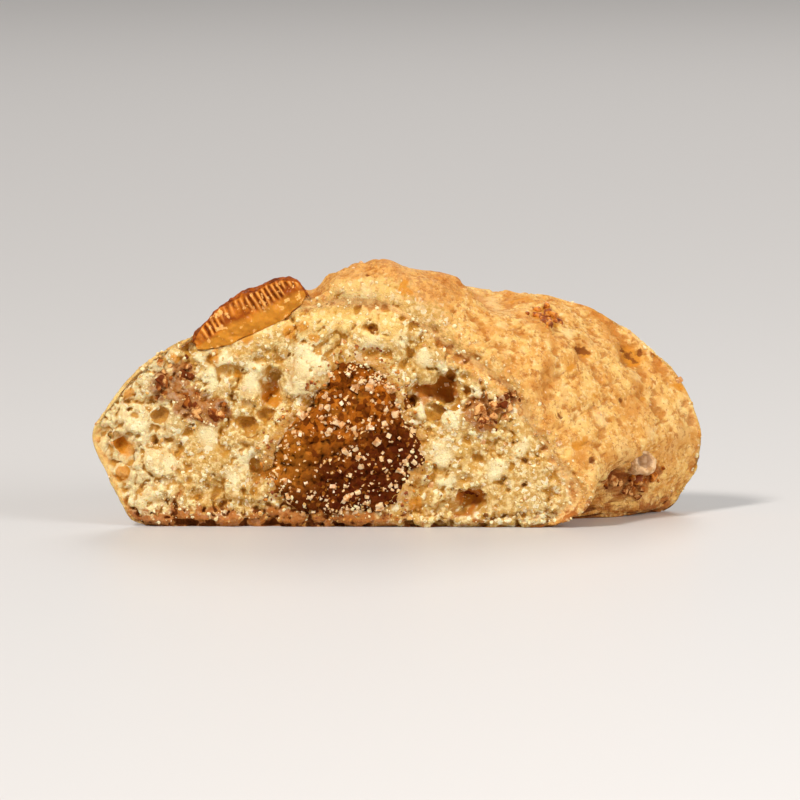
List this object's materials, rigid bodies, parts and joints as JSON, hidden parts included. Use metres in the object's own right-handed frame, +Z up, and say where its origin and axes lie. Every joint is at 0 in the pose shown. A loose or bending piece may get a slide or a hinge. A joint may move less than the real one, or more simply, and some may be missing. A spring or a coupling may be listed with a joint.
{
  "type": "biscotti",
  "caption": "Small twice-baked almond biscuit: a slanted slice of a domed log on its flat base, with a candied fruit chunk and a strip of peel.",
  "frame": {"origin": "middle of the bounding box at the level of the flat base", "axes": "+X along the cut faces, +Y from the front cut to the back cut, +Z up"},
  "size_m": [0.0486, 0.014, 0.021],
  "materials": {
    "dough": "matte baked crust, golden, and paler dry crumb on the cuts",
    "candied_chunk": "sticky amber-brown candied fruit with sugar grains",
    "candied_peel": "glossy amber candied peel with a darker ridged rind"
  },
  "bodies": {
    "root": {"dough": "dough", "candied_chunk": "candied_chunk", "candied_peel": "candied_peel"}
  },
  "joints": []
}
